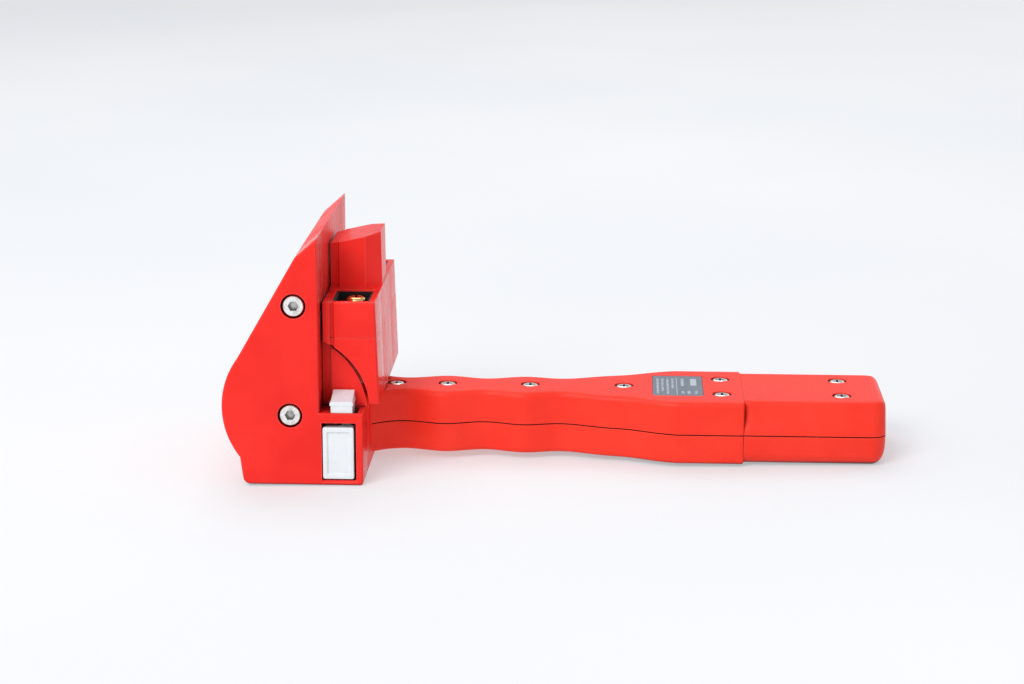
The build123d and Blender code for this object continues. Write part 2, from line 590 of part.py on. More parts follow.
with BuildPart() as handle_top_shell:
    with BuildSketch(level(SPLIT_Z)):
        handle_plan(0, 0, STEP_X)
    extrude(amount=TOP_Z - SPLIT_Z)
    rim = handle_top_shell.faces().sort_by(Axis.Z)[-1].edges().filter_by(Axis.Y, reverse=True)
    fillet(rim, GRIP_ROUND)
    with BuildSketch(station(STEP_X - 1)):
        polygon((-BUTT_HALF, SPLIT_Z), (BUTT_HALF, SPLIT_Z), (BUTT_TOP_HALF, TOP_Z), (-BUTT_TOP_HALF, TOP_Z))
    extrude(amount=BUTT_X - STEP_X + 1)
    ends = handle_top_shell.faces().sort_by(Axis.X)[-1].edges().filter_by(Axis.Y, reverse=True)
    fillet(ends, 5.0)
    butt_rim = handle_top_shell.edges().filter_by_position(Axis.Z, TOP_Z - 0.01, TOP_Z + 0.01)
    butt_rim = butt_rim.filter_by_position(Axis.X, X0 + STEP_X + 0.1, X0 + BUTT_X + 1)
    fillet(butt_rim, 1.8)
    with BuildSketch(level(SPLIT_Z - 1)):
        handle_plan(WALL, WALL, STEP_X - 1)
        rectangle((STEP_X - 2, BUTT_X - WALL), (WALL - BUTT_TOP_HALF, BUTT_TOP_HALF - WALL))
    extrude(amount=INNER_TOP - SPLIT_Z + 1, mode=Mode.SUBTRACT)
    with BuildSketch(level(SPLIT_Z + 0.05)):
        with Locations(*grip_spots[1:]):
            Circle(POST_R)
    extrude(amount=INNER_TOP - SPLIT_Z)
    with BuildSketch(level(SPINE_Z[1] + 0.05)):
        with Locations(grip_spots[0]):
            Circle(POST_R)
    extrude(amount=INNER_TOP - SPINE_Z[1])
    with BuildSketch(level(18.0)):
        with Locations(*pack_spots):
            Circle(POST_R)
    extrude(amount=INNER_TOP - 18.0 + 0.1)
    with BuildSketch(station(-1)):
        rectangle((-SPINE_HALF - 0.1, SPINE_HALF + 0.1), (SPINE_Z[0] - 0.1, SPINE_Z[1] + 0.1))
    extrude(amount=WALL + 2, mode=Mode.SUBTRACT)
    with Locations(*[level(TOP_Z).location * Location((x, y, 0)) for x, y in grip_spots + pack_spots]):
        CounterBoreHole(M3_R + 0.2, PAN_BORE_R, PAN_SINK + PAN_HEAD_H, depth=TOP_Z - SPLIT_Z + 1)
    with BuildSketch(level(TOP_Z - PLATE_SINK)):
        rectangle((PLATE_X[0] - 0.1, PLATE_X[1] + 0.1), (-PLATE_HALF - 0.1, PLATE_HALF + 0.1))
        fillet(vertices(), 1.5)
    extrude(amount=1, mode=Mode.SUBTRACT)
save(handle_top_shell, "handle_top_shell")

with BuildPart() as handle_bottom_shell:
    with BuildSketch(level(BASE_Z)):
        handle_plan(0, 0, STEP_X)
    extrude(amount=SPLIT_Z - BASE_Z)
    rim = handle_bottom_shell.faces().sort_by(Axis.Z)[0].edges().filter_by(Axis.Y, reverse=True)
    fillet(rim, GRIP_ROUND)
    with BuildSketch(station(STEP_X - 1)):
        rectangle((-BUTT_HALF, BUTT_HALF), (BASE_Z, SPLIT_Z))
        base_corners = vertices().group_by(Axis.Y)[0]
        fillet(base_corners, 5.0)
    extrude(amount=BUTT_X - STEP_X + 1)
    ends = handle_bottom_shell.faces().sort_by(Axis.X)[-1].edges().filter_by(Axis.Z)
    fillet(ends, 5.0)
    with BuildSketch(level(INNER_BASE)):
        handle_plan(WALL, WALL, STEP_X - 1)
        rectangle((STEP_X - 2, BUTT_X - WALL), (WALL - BUTT_TOP_HALF, BUTT_TOP_HALF - WALL))
    extrude(amount=SPLIT_Z, mode=Mode.SUBTRACT)
    with BuildSketch(level(INNER_BASE - 0.1)):
        with Locations(*grip_spots[1:]):
            Circle(POST_R)
    extrude(amount=SPLIT_Z - INNER_BASE + 0.05)
    with BuildSketch(level(INNER_BASE + 0.8)):
        with Locations(*grip_spots[1:]):
            Circle(M3_R + 0.02)
    extrude(amount=SPLIT_Z, mode=Mode.SUBTRACT)
    with BuildSketch(station(-1)):
        rectangle((-SPINE_HALF - 0.1, SPINE_HALF + 0.1), (SPINE_Z[0] - 0.1, SPINE_Z[1] + 0.1))
    extrude(amount=WALL + 2, mode=Mode.SUBTRACT)
    with BuildSketch(station(BUTT_X + 1)):
        rectangle((-SOCKET_HALF, SOCKET_HALF), SOCKET_Z)
        fillet(vertices(), 1.4)
    extrude(amount=-WALL - 2, mode=Mode.SUBTRACT)
save(handle_bottom_shell, "handle_bottom_shell")

with BuildPart() as spine:
    with BuildSketch(station(SPINE_X[0])):
        rectangle((-SPINE_HALF, SPINE_HALF), SPINE_Z)
    extrude(amount=SPINE_X[1] - SPINE_X[0])
    chamfer(spine.edges().filter_by(Axis.X), 0.6)
    with Locations(level(SPINE_Z[1]).location * Location((*grip_spots[0], 0))):
        Hole(M3_R + 0.02, depth=13)
save(spine, "spine")


def pan_screws(name, spots, length):
    """Write a group of pan head screws with cross recesses, seated in the handle's top."""
    seat = level(TOP_Z - PAN_SINK)
    with BuildPart() as group:
        with Locations(*[seat.location * Location((x, y, 0)) for x, y in spots]):
            Cylinder(PAN_HEAD_R, PAN_HEAD_H, align=(Align.CENTER, Align.CENTER, Align.MAX))
        fillet(group.faces().group_by(Axis.Z)[-1].edges(), 0.9)
        with Locations(*[seat.offset(-PAN_HEAD_H).location * Location((x, y, 0)) for x, y in spots]):
            Cylinder(M3_R, length, align=(Align.CENTER, Align.CENTER, Align.MAX))
        with BuildSketch(seat) as recess:
            with Locations(*spots):
                Rectangle(2.9, 0.65)
                Rectangle(0.65, 2.9)
        extrude(recess.sketch, amount=-1.1, mode=Mode.SUBTRACT)
    save(group, name)


pan_screws("grip_screws", grip_spots, 12.0)
pan_screws("pack_screws", pack_spots, 6.0)

with BuildPart() as rating_plate:
    with BuildSketch(level(TOP_Z - PLATE_SINK)):
        rectangle(PLATE_X, (-PLATE_HALF, PLATE_HALF))
        fillet(vertices(), 1.4)
    extrude(amount=PLATE_SINK - 0.05)
save(rating_plate, "rating_plate")

FRAME_X = (104.0, 160.0)
FRAME_TOP = 17.95
FRAME_HALF = 16.0
FRAME_T = 2.0
with BuildPart() as pack_frame:
    with BuildSketch(level(INNER_BASE + 0.05)):
        rectangle(FRAME_X, (-FRAME_HALF, FRAME_HALF))
    extrude(amount=FRAME_TOP - INNER_BASE - 0.05)
    with BuildSketch(level(INNER_BASE)):
        rectangle((FRAME_X[0] + FRAME_T, FRAME_X[1] - FRAME_T), (-FRAME_HALF - 1, FRAME_HALF + 1))
    extrude(amount=FRAME_TOP - 3.4 - INNER_BASE, mode=Mode.SUBTRACT)
    with Locations(*[level(FRAME_TOP).location * Location((x, y, 0)) for x, y in pack_spots]):
        Hole(M3_R + 0.02, depth=2.6)
save(pack_frame, "pack_frame")

with BuildPart() as battery_pack:
    with BuildSketch(level(INNER_BASE + 0.05)):
        rectangle((FRAME_X[0] + FRAME_T + 0.4, FRAME_X[1] - FRAME_T - 0.4),
                  (0.4 - FRAME_HALF, FRAME_HALF - 0.4))
        fillet(vertices(), 2)
    extrude(amount=9.4)
    fillet(battery_pack.edges().group_by(Axis.Z)[-1], 1.2)
save(battery_pack, "battery_pack")

BOARD_END = BUTT_X - WALL - 0.2
with BuildPart() as charge_board:
    with BuildSketch(level(INNER_BASE + 0.05)):
        rectangle((FRAME_X[1] + 0.6, BOARD_END), (-9, 9))
    extrude(amount=1.3)
save(charge_board, "charge_board")

with BuildPart() as charge_socket:
    with BuildSketch(station(FRAME_X[1] + 1.0)):
        rectangle((-SOCKET_HALF + 0.15, SOCKET_HALF - 0.15), (SOCKET_Z[0] + 0.15, SOCKET_Z[1] - 0.15))
        fillet(vertices(), 1.3)
    extrude(amount=BUTT_X - FRAME_X[1] - 1.6)
    with BuildSketch(station(BUTT_X)):
        rectangle((-SOCKET_HALF + 0.55, SOCKET_HALF - 0.55), (SOCKET_Z[0] + 0.55, SOCKET_Z[1] - 0.55))
        fillet(vertices(), 1.1)
    extrude(amount=-6.5, mode=Mode.SUBTRACT)
    with BuildSketch(station(BUTT_X - 7.2)):
        rectangle((-3.2, 3.2), (sum(SOCKET_Z) / 2 - 0.35, sum(SOCKET_Z) / 2 + 0.35))
    extrude(amount=5.2)
save(charge_socket, "charge_socket")
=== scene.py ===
import json
import math

import bmesh
import bpy
import numpy as np
from mathutils import Matrix, Vector


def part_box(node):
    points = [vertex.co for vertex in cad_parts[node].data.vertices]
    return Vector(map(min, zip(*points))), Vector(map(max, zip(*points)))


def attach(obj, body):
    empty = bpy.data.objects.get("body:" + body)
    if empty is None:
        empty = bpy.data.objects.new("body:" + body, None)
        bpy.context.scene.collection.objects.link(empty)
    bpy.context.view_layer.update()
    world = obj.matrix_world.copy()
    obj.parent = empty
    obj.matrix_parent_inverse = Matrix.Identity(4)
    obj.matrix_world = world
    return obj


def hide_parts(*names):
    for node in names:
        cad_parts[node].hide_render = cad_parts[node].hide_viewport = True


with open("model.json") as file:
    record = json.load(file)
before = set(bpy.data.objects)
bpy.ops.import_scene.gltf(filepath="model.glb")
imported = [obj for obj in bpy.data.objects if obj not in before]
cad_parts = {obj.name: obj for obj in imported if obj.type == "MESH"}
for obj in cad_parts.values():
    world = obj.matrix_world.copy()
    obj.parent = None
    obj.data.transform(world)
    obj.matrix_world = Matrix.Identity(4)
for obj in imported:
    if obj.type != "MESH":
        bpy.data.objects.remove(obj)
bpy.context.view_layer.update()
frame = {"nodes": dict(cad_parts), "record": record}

MM = 0.001

# ---- camera --------------------------------------------------------------------------------------
LENS = 90.0                      # mm
SENSOR = 36.0                    # mm
CAMERA_PLACE = (0.02163, -0.83153, 0.23666)
CAMERA_YAW, CAMERA_DOWN, CAMERA_ROLL = 2.59, 13.40, 0.14     # degrees

camera_data = bpy.data.cameras.new("camera")
camera_data.lens = LENS
camera_data.sensor_width = SENSOR
camera = bpy.data.objects.new("camera", camera_data)
bpy.context.scene.collection.objects.link(camera)
camera_turn = (Matrix.Rotation(math.radians(CAMERA_YAW), 4, "Z")
               @ Matrix.Rotation(math.radians(90 - CAMERA_DOWN), 4, "X")
               @ Matrix.Rotation(math.radians(CAMERA_ROLL), 4, "Z"))
camera.matrix_world = Matrix.Translation(CAMERA_PLACE) @ camera_turn
bpy.context.scene.camera = camera
bpy.context.scene.view_settings.view_transform = "Standard"
bpy.context.scene.view_settings.look = "None"

# ---- places taken from the frame, in mm, but the plate's corners in m ----------------------------
shell_low, shell_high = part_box("handle_top_shell")
X0 = shell_low.x / MM            # face where the handle meets the foot
TOP = shell_high.z / MM
SPLIT = shell_low.z / MM
END = shell_high.x / MM - X0     # length of the handle
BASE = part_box("handle_bottom_shell")[0].z / MM
WIDE = shell_high.y / MM
PLATE_LOW, PLATE_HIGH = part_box("rating_plate")

# ---- mesh helpers --------------------------------------------------------------------------------
WELD = 2e-6                      # m, corners closer than this are joined before rounding
FLAT_ANGLE = 0.3                 # degrees, faces that meet flatter than this are merged
CRISP_ANGLE = 28                 # degrees, edges sharper than this are rounded


def new_object(name, data):
    """Object in the scene's collection."""
    thing = bpy.data.objects.new(name, data)
    bpy.context.scene.collection.objects.link(thing)
    return thing


def from_bmesh(name, bm):
    """Object from a bmesh, which is freed. Normals point outwards."""
    bmesh.ops.recalc_face_normals(bm, faces=bm.faces)
    mesh = bpy.data.meshes.new(name)
    bm.to_mesh(mesh)
    bm.free()
    return new_object(name, mesh)


def loft(name, rings):
    """Closed solid through rings of the same length, given in mm from the handle's datum."""
    bm = bmesh.new()
    loops = [[bm.verts.new(((X0 + x) * MM, y * MM, z * MM)) for x, y, z in ring] for ring in rings]
    count = len(loops[0])
    for one, two in zip(loops, loops[1:]):
        for i in range(count):
            j = (i + 1) % count
            bm.faces.new((one[i], one[j], two[j], two[i]))
    bm.faces.new(loops[0])
    bm.faces.new(list(reversed(loops[-1])))
    return from_bmesh(name, bm)


def lathe(name, centre, profile, steps):
    """Solid turned about an upright axis, from (radius, height) points in mm."""
    rings = []
    for radius, height in profile:
        rings.append([(centre[0] + radius * math.cos(2 * math.pi * i / steps),
                       centre[1] + radius * math.sin(2 * math.pi * i / steps), height)
                      for i in range(steps)])
    return loft(name, rings)


def rounded_rectangle(x_range, y_range, radius, z, steps=6):
    """Flat loop at the height z with round corners."""
    ring = []
    for sx, sy, start in ((1, 1, 0), (-1, 1, 90), (-1, -1, 180), (1, -1, 270)):
        cx = (x_range[1] - radius) if sx > 0 else (x_range[0] + radius)
        cy = (y_range[1] - radius) if sy > 0 else (y_range[0] + radius)
        for i in range(steps + 1):
            a = math.radians(start + 90 * i / steps)
            ring.append((cx + radius * math.cos(a), cy + radius * math.sin(a), z))
    return ring


def cut(target, other):
    """Take one solid away from another; the one taken away is used up."""
    modifier = target.modifiers.new("cut", "BOOLEAN")
    modifier.operation = "DIFFERENCE"
    modifier.solver = "EXACT"
    modifier.object = other
    graph = bpy.context.evaluated_depsgraph_get()
    mesh = bpy.data.meshes.new_from_object(target.evaluated_get(graph))
    target.modifiers.clear()
    old = target.data
    target.data = mesh
    bpy.data.meshes.remove(old)
    used = other.data
    bpy.data.objects.remove(other)
    bpy.data.meshes.remove(used)


def shade(thing, angle):
    """Smooth shading, with edges sharper than the angle, in degrees, kept sharp."""
    bm = bmesh.new()
    bm.from_mesh(thing.data)
    limit = math.radians(angle)
    for face in bm.faces:
        face.smooth = True
    for edge in bm.edges:
        edge.smooth = len(edge.link_faces) == 2 and edge.calc_face_angle(0) < limit
    bm.to_mesh(thing.data)
    bm.free()


def softened(node, width):
    """Copy of a CAD node whose crisp edges are rounded by the width in mm."""
    bm = bmesh.new()
    bm.from_mesh(frame["nodes"][node].data)
    bmesh.ops.remove_doubles(bm, verts=bm.verts, dist=WELD)
    bmesh.ops.dissolve_limit(bm, angle_limit=math.radians(FLAT_ANGLE), verts=bm.verts, edges=bm.edges)
    limit = math.radians(CRISP_ANGLE)
    sharp = [e for e in bm.edges if len(e.link_faces) == 2 and e.calc_face_angle(0) > limit]
    bmesh.ops.bevel(bm, geom=sharp, offset=width * MM, offset_type="OFFSET", segments=3,
                    profile=0.5, affect="EDGES", clamp_overlap=True, loop_slide=True)
    piece = from_bmesh(f"{node}_soft", bm)
    shade(piece, 40)
    return piece


# ---- material helpers ----------------------------------------------------------------------------
class Finish:
    """A material being built: each method adds nodes and returns the last one's output socket."""

    def __init__(self, name, roughness, metallic=0.0, specular=0.5):
        self.material = bpy.data.materials.new(name)
        self.material.use_nodes = True
        self.tree = self.material.node_tree
        self.shader = self.tree.nodes["Principled BSDF"]
        self.shader.inputs["Roughness"].default_value = roughness
        self.shader.inputs["Metallic"].default_value = metallic
        self.shader.inputs["Specular IOR Level"].default_value = specular

    def add(self, kind, values=(), output=0, **settings):
        node = self.tree.nodes.new(kind)
        for key, value in settings.items():
            setattr(node, key, value)
        for key, value in dict(values).items():
            if isinstance(value, bpy.types.NodeSocket):
                self.tree.links.new(value, node.inputs[key])
            else:
                node.inputs[key].default_value = value
        return node.outputs[output]

    def position(self):
        return self.add("ShaderNodeTexCoord", output="Object")

    def scaled(self, vector, scale):
        return self.add("ShaderNodeVectorMath", {0: vector, 1: scale}, operation="MULTIPLY")

    def noise(self, vector, scale, detail=2.0, roughness=0.5):
        return self.add("ShaderNodeTexNoise", {"Vector": vector, "Scale": scale, "Detail": detail,
                                               "Roughness": roughness})

    def maths(self, operation, a, b=0.0):
        return self.add("ShaderNodeMath", {0: a, 1: b}, operation=operation)

    def ranged(self, value, low, high, to_low=0.0, to_high=1.0):
        return self.add("ShaderNodeMapRange", {"Value": value, "From Min": low, "From Max": high,
                                               "To Min": to_low, "To Max": to_high})

    def mixed(self, factor, one, two):
        return self.add("ShaderNodeMix", {0: factor, 6: one, 7: two}, output=2, data_type="RGBA")

    def bump(self, height, distance, normal=None):
        values = {"Height": height, "Distance": distance, "Strength": 1.0}
        if normal is not None:
            values["Normal"] = normal
        return self.add("ShaderNodeBump", values)

    def open_to_light(self, reach, low, high):
        """0 deep inside gaps and holes, 1 on open faces."""
        ao = self.add("ShaderNodeAmbientOcclusion", {"Distance": reach}, output="AO", samples=6)
        return self.ranged(ao, low, high)

    def edges(self, radius):
        """1 on edges rounded by the radius, 0 on flat faces."""
        soft = self.add("ShaderNodeBevel", {"Radius": radius}, samples=4)
        flat = self.add("ShaderNodeNewGeometry", output="Normal")
        dot = self.add("ShaderNodeVectorMath", {0: soft, 1: flat}, output="Value",
                       operation="DOT_PRODUCT")
        return self.ranged(dot, 0.999, 0.90)

    def into(self, **sockets):
        """Link the sockets to the shader's inputs of those names and return the material."""
        for key, socket in sockets.items():
            self.tree.links.new(socket, self.shader.inputs[key.replace("_", " ")])
        return self.material


def rgba(r, g, b):
    return (r, g, b, 1.0)


# painted shade: near black laid into gaps, seams and holes where shade falls
PAINTED_GAP_SHADE = (0.020, 0.001, 0.001)
RED = (0.95, 0.030, 0.021)
RED_DARK = (0.84, 0.019, 0.013)
RED_PALE = (0.95, 0.16, 0.13)
HANDLE = (0.95, 0.044, 0.022)
HANDLE_DARK = (0.88, 0.032, 0.015)
HANDLE_PALE = (0.95, 0.16, 0.11)
LAYER_PITCH = 0.00025            # m, printed layers, stacked along Y
EDGE_WEAR_AND_HIGHLIGHT = 0.0004               # m, width of the pale line on an edge, which is part wear and part painted highlight


def layered_red(name, rough=0.42, reach=0.0022):
    """Printed plastic: fine layers stacked along Y, streaks between them, pale edges that are part wear
    and part painted highlight, and painted shade in gaps and holes.
    """
    f = Finish(name, rough, specular=0.2)
    place = f.position()
    across = f.add("ShaderNodeSeparateXYZ", {0: place}, output=1)
    layer = f.maths("SINE", f.maths("MULTIPLY", across, 2 * math.pi / LAYER_PITCH))
    streak = f.noise(f.scaled(place, (14.0, 620.0, 14.0)), 1.0, 3.0, 0.6)
    broad = f.noise(f.scaled(place, (9.0, 90.0, 9.0)), 1.0, 2.0, 0.5)
    passes = f.noise(f.scaled(place, (150.0, 40.0, 150.0)), 1.0, 4.0, 0.65)
    grain = f.noise(place, 2600.0, 2.0, 0.6)
    mottle = f.noise(place, 38.0, 3.0, 0.55)
    tone = f.mixed(f.ranged(mottle, 0.3, 0.7), rgba(*RED_DARK), rgba(*RED))
    tone = f.mixed(f.maths("MULTIPLY", f.ranged(streak, 0.55, 0.75), 0.18), tone, rgba(*RED_PALE))
    # pale line on rounded edges: part wear, part painted highlight
    tone = f.mixed(f.maths("MULTIPLY", f.edges(EDGE_WEAR_AND_HIGHLIGHT), 0.6), tone, rgba(*RED_PALE))
    # painted shade: gaps and holes darkened towards near black by ambient occlusion
    tone = f.mixed(f.open_to_light(reach, 0.05, 0.45), rgba(*PAINTED_GAP_SHADE), tone)
    # faces that show the layers' edges are glossier than the flat sides
    normal = f.add("ShaderNodeNewGeometry", output="True Normal")
    facing = f.add("ShaderNodeSeparateXYZ", {0: normal}, output=1)
    flat_side = f.ranged(f.maths("ABSOLUTE", facing), 0.1, 0.7, rough - 0.28, rough)
    rough_map = f.maths("ADD", f.maths("ADD", flat_side, f.ranged(broad, 0.3, 0.7, -0.04, 0.06)),
                        f.maths("MULTIPLY", f.ranged(streak, 0.4, 0.7), 0.12))
    relief = f.bump(grain, 0.000012)
    relief = f.bump(streak, 0.00006, normal=relief)
    relief = f.bump(layer, 0.000010, normal=relief)
    relief = f.bump(passes, 0.00010, normal=relief)
    return f.into(Base_Color=tone, Roughness=rough_map, Normal=relief)


def moulded_red():
    """Satin shell plastic with a fine even grain, for the handle, with pale edges that are part wear and
    part painted highlight, and painted shade in gaps and holes.
    """
    f = Finish("moulded_red", 0.45, specular=0.2)
    place = f.position()
    grain = f.noise(place, 3200.0, 2.0, 0.55)
    pits = f.noise(place, 900.0, 3.0, 0.6)
    mottle = f.noise(place, 55.0, 4.0, 0.6)
    tone = f.mixed(f.ranged(mottle, 0.3, 0.7), rgba(*HANDLE_DARK), rgba(*HANDLE))
    # pale line on rounded edges: part wear, part painted highlight
    tone = f.mixed(f.maths("MULTIPLY", f.edges(EDGE_WEAR_AND_HIGHLIGHT), 0.25), tone, rgba(*HANDLE_PALE))
    # painted shade: seams and screw recesses darkened towards near black by ambient occlusion
    tone = f.mixed(f.open_to_light(0.003, 0.15, 0.6), rgba(*PAINTED_GAP_SHADE), tone)
    rough_map = f.maths("ADD", f.ranged(mottle, 0.25, 0.75, 0.38, 0.48),
                        f.ranged(pits, 0.4, 0.7, 0.0, 0.07))
    relief = f.bump(pits, 0.000030)
    relief = f.bump(grain, 0.000014, normal=relief)
    return f.into(Base_Color=tone, Roughness=rough_map, Normal=relief)


def plain_plastic(name, base, shadow, roughness, grain_scale=1500.0, grain_depth=0.00001):
    """Moulded plastic with soft mottling and a fine grain."""
    f = Finish(name, roughness)
    place = f.position()
    grain = f.noise(place, grain_scale, 3.0, 0.6)
    mottle = f.noise(place, 120.0, 3.0, 0.6)
    tone = f.mixed(f.ranged(mottle, 0.25, 0.75), rgba(*shadow), rgba(*base))
    rough_map = f.ranged(mottle, 0.3, 0.7, roughness - 0.05, roughness + 0.08)
    return f.into(Base_Color=tone, Roughness=rough_map, Normal=f.bump(grain, grain_depth))


def worn_metal_with_painted_shade(name, base, dark, roughness):
    """Metal with fine scratches and darker patches, and painted shade darkening its hollows."""
    f = Finish(name, roughness, metallic=1.0)
    place = f.position()
    scratch = f.noise(f.scaled(place, (3500.0, 500.0, 3500.0)), 1.0, 3.0, 0.6)
    blotch = f.noise(place, 420.0, 4.0, 0.65)
    tone = f.mixed(f.ranged(blotch, 0.45, 0.75), rgba(*base), rgba(*dark))
    # painted shade: hollows such as hex sockets darkened towards a near black copy of the dark tone
    tone = f.mixed(f.open_to_light(0.0022, 0.25, 0.75), rgba(*[0.12 * c for c in dark]), tone)
    rough_map = f.maths("ADD", f.ranged(scratch, 0.3, 0.7, roughness - 0.08, roughness + 0.12),
                        f.ranged(blotch, 0.4, 0.7, 0.0, 0.10))
    return f.into(Base_Color=tone, Roughness=rough_map, Normal=f.bump(scratch, 0.000008))


def plate_finish():
    """Slate label stock with generic pale rules and blocks instead of wording."""
    f = Finish("plate_print", 0.42)
    place = f.position()
    x = f.add("ShaderNodeSeparateXYZ", {0: place}, output=0)
    y = f.add("ShaderNodeSeparateXYZ", {0: place}, output=1)
    u = f.ranged(x, PLATE_LOW.x, PLATE_HIGH.x)
    v = f.ranged(y, -PLATE_HIGH.y, PLATE_HIGH.y)

    def band(value, low, high):
        """1 between the two values."""
        return f.maths("MULTIPLY", f.maths("GREATER_THAN", value, low),
                       f.maths("LESS_THAN", value, high))

    dashes = f.noise(f.scaled(place, (700.0, 1900.0, 0.0)), 1.0, 0.0)
    broken = f.maths("GREATER_THAN", dashes, 0.44)
    ink = None
    for left, low, high, thick in ((0.10, 0.10, 0.86, 0.022), (0.20, 0.22, 0.86, 0.022),
                                   (0.30, 0.10, 0.86, 0.022), (0.40, 0.34, 0.86, 0.022),
                                   (0.60, 0.50, 0.86, 0.030), (0.60, 0.10, 0.24, 0.030),
                                   (0.72, 0.10, 0.24, 0.030), (0.86, 0.10, 0.24, 0.030)):
        mark = f.maths("MULTIPLY", band(u, left - thick, left + thick), band(v, low, high))
        mark = f.maths("MULTIPLY", mark, broken)
        ink = mark if ink is None else f.maths("MAXIMUM", ink, mark)
    ink = f.maths("MAXIMUM", ink, f.maths("MULTIPLY", band(u, 0.76, 0.88), band(v, 0.52, 0.86)))
    ink = f.maths("MAXIMUM", ink, f.maths("MULTIPLY", band(u, 0.475, 0.49), band(v, 0.06, 0.90)))
    mottle = f.noise(place, 300.0, 3.0)
    tone = f.mixed(f.ranged(mottle, 0.3, 0.7), rgba(0.115, 0.150, 0.185), rgba(0.155, 0.190, 0.230))
    tone = f.mixed(f.maths("MULTIPLY", ink, 0.62), tone, rgba(0.62, 0.66, 0.72))
    relief = f.bump(f.noise(place, 2500.0, 2.0), 0.000006)
    return f.into(Base_Color=tone, Roughness=f.ranged(mottle, 0.3, 0.7, 0.36, 0.46), Normal=relief)


def fabric_finish():
    """Floor: pale cloth with a barely visible weave, half lit by its own glow to keep it even."""
    f = Finish("pale_cloth", 0.9, specular=0.2)
    place = f.position()
    weave = f.noise(place, 1400.0, 2.0)
    drift = f.noise(place, 2.2, 2.0)
    tone = f.mixed(f.ranged(drift, 0.3, 0.7), rgba(0.40, 0.41, 0.42), rgba(0.43, 0.435, 0.44))
    f.shader.inputs["Emission Strength"].default_value = 1.0
    return f.into(Base_Color=tone, Emission_Color=tone, Normal=f.bump(weave, 0.00004))


# ---- materials -----------------------------------------------------------------------------------
finishes = {
    "red_printed": layered_red("printed_red"),
    "red_handle": moulded_red(),
    "white_plastic": plain_plastic("white_button", (0.80, 0.83, 0.84), (0.74, 0.78, 0.80), 0.26),
    "black_plastic": plain_plastic("black_liner", (0.004, 0.004, 0.0045), (0.002, 0.002, 0.0025), 0.6),
    "screw_steel": worn_metal_with_painted_shade("bright_steel", (0.90, 0.89, 0.86), (0.42, 0.39, 0.34), 0.22),
    "brass": worn_metal_with_painted_shade("yellow_brass", (0.86, 0.58, 0.24), (0.50, 0.28, 0.09), 0.20),
    "bronze_bush": worn_metal_with_painted_shade("bronze", (0.55, 0.33, 0.17), (0.38, 0.22, 0.10), 0.35),
    "silicone": plain_plastic("silicone", (0.30, 0.055, 0.045), (0.24, 0.04, 0.035), 0.6),
    "tape": plain_plastic("slip_tape", (0.52, 0.40, 0.26), (0.42, 0.31, 0.20), 0.45, 2200.0, 0.00003),
    "band_metal": worn_metal_with_painted_shade("band_metal", (0.70, 0.68, 0.65), (0.50, 0.48, 0.45), 0.3),
    "aluminium_part": worn_metal_with_painted_shade("aluminium", (0.80, 0.80, 0.81), (0.66, 0.66, 0.68), 0.32),
    "solenoid_case": plain_plastic("solenoid_case", (0.06, 0.06, 0.065), (0.04, 0.04, 0.045), 0.4),
    "board": plain_plastic("circuit_board", (0.02, 0.16, 0.07), (0.015, 0.11, 0.05), 0.35),
    "battery_wrap": plain_plastic("battery_wrap", (0.03, 0.10, 0.36), (0.02, 0.07, 0.28), 0.35),
    "plate": plate_finish(),
}

special_reds = {                 # pieces whose painted shade in gaps reaches deeper or shallower
    "throat_block": layered_red("printed_red_throat", reach=0.0025),
    "near_cheek": layered_red("printed_red_cheek", reach=0.012),
    "head_core": layered_red("printed_red_core", rough=0.55, reach=0.0006),
}

slot_of = {entry["node"]: entry["material_slot"] for entry in frame["record"]["subparts"]}
for node_name, node_object in frame["nodes"].items():
    material = finishes[slot_of[node_name]]
    if not node_object.material_slots:
        node_object.data.materials.append(material)
    for material_slot in node_object.material_slots:
        material_slot.material = material


def dress(piece, body, slot_name, *nodes, material=None):
    """Finish a piece, put it on its body and let it stand for the CAD nodes."""
    piece.data.materials.clear()
    piece.data.materials.append(material or finishes[slot_name])
    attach(piece, body)
    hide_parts(*nodes)


# ---- handle, in mm from the face where it meets the foot -----------------------------------------
STEP = 123.0                     # end of the wide part
STEP_ROUND = 0.7                 # its rim
BUTT_HALF = 22.0
BUTT_TOP_HALF = 19.4
BUTT_ROUND = 5.0                 # upright corners at the butt's end
BUTT_TOP_ROUND = 2.4             # upper edge at the butt's end
BUTT_BASE_ROUND = 4.6            # lower edge at the butt's end
SCOOP_DEPTH = 1.0                # the butt's sides are drawn in behind the step
SCOOP_LENGTH = 3.6
SCOOP_FROM = 12.0                # half width outside which they are
WAVES = ((0.0, 13.8), (2.0, 12.1), (4.3, 10.6), (7.1, 9.5), (11.2, 8.9), (24.4, 12.0), (37.2, 8.9),
         (50.2, 12.1), (62.0, 10.0), (76.0, 13.9), (86.0, 16.4), (95.0, 20.4), (101.0, WIDE))
GRIP_SCREWS = (7.3, 24.5, 52.2, 83.6)
PACK_SCREWS = [(x, y) for x in (116.0, 155.4) for y in (-9.9, 9.9)]
WALL = 2.0
LOWER_WALL = 1.6
POST_R = 3.4
PACK_POST_FOOT = 18.0            # just over the battery's frame
CLEAR = 0.05                     # between a post and what it stands over
FIT = 0.15                       # round the plate and the charge socket
SPINE_FIT = 0.1
SCREW_R = 1.7                    # clearance hole of a handle screw
HEAD_R = 3.2                     # recess for its head
PILOT_R = 1.52
PLATE_CORNER = 1.5
SOCKET_CORNER = 1.4
SEAM = 0.14                      # half of the gap between the two shells
SEAM_ROUND = 0.34
SEAT = TOP - 2.05                # face that the screw heads sit on
SPINE_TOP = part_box("spine")[1].z / MM


